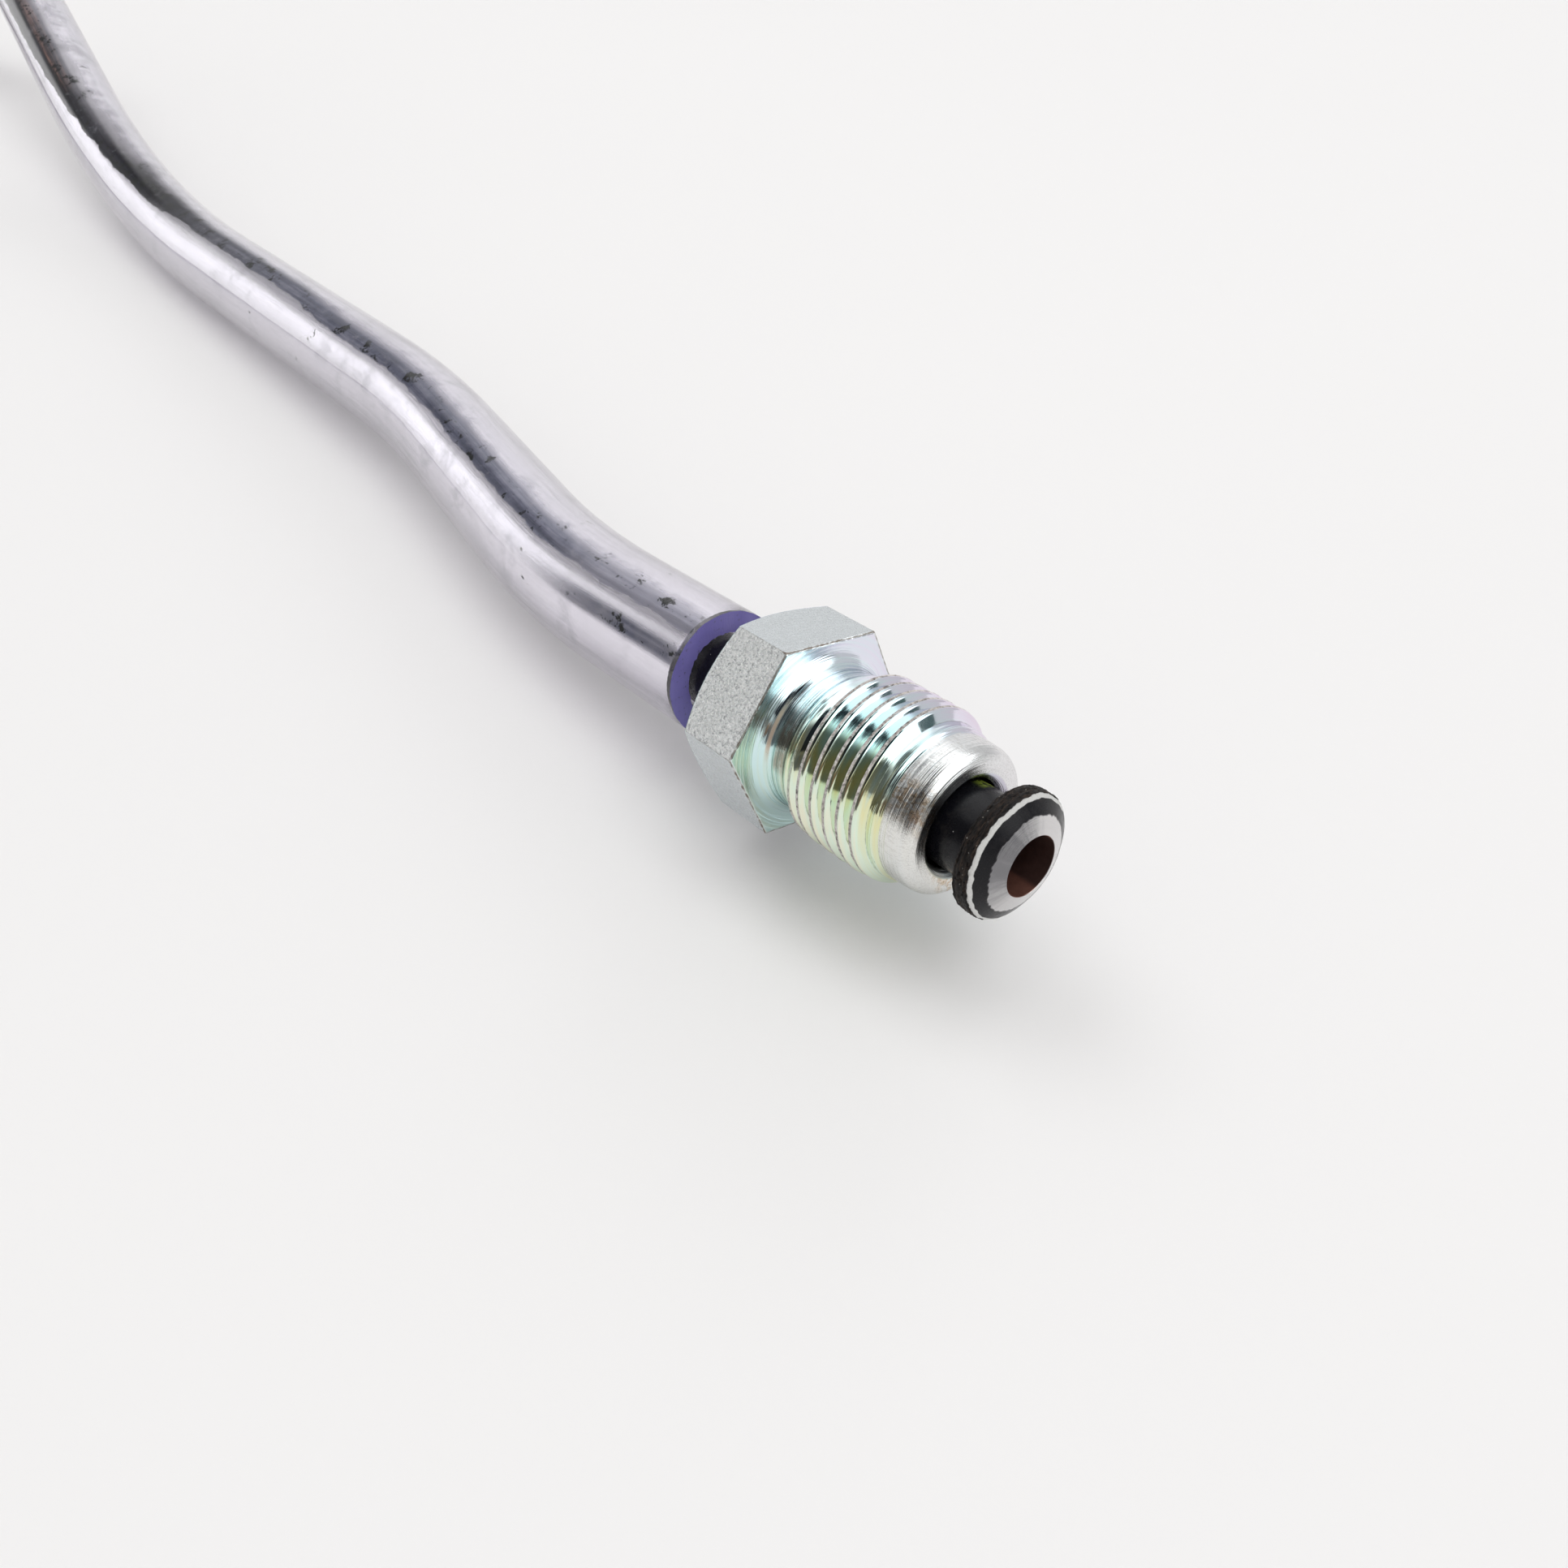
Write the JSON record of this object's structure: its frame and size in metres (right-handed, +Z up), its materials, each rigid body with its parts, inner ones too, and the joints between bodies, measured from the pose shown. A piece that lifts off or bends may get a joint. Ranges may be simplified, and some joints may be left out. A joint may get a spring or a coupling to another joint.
{
  "type": "brake line",
  "caption": "Formed steel brake line with a bubble flare and a loose threaded tube nut at each end, and a clear protective sleeve between the nuts.",
  "frame": {"origin": "on the floor, under the middle of the line's footprint as it lies at rest", "axes": "+X along the line's longest reach, towards the front nut's side; +Z up from the floor; the front flare points to +X and -Y"},
  "size_m": [0.2972, 0.219, 0.0248],
  "materials": {
    "coated_tube": "satin black coating over steel",
    "clear_sleeve": "glossy clear vinyl with a faint lavender tint",
    "zinc_plated_nut": "bright zinc plating with a thin iridescent film"
  },
  "bodies": {
    "line": {"brake_tube": "coated_tube", "protective_sleeve": "clear_sleeve"},
    "front_nut": {"front_tube_nut": "zinc_plated_nut"},
    "rear_nut": {"rear_tube_nut": "zinc_plated_nut"}
  },
  "joints": [
    {"name": "front_nut_spin", "type": "hinge", "parent": "line", "child": "front_nut", "pos_m": [0.13666, -0.0962, 0.00785], "axis": [0.6413, -0.7628, 0.0828], "continuous": true},
    {"name": "rear_nut_spin", "type": "hinge", "parent": "line", "child": "rear_nut", "pos_m": [-0.135, 0.03987, 0.00551], "axis": [-0.8016, -0.5976, 0.0153], "continuous": true}
  ]
}
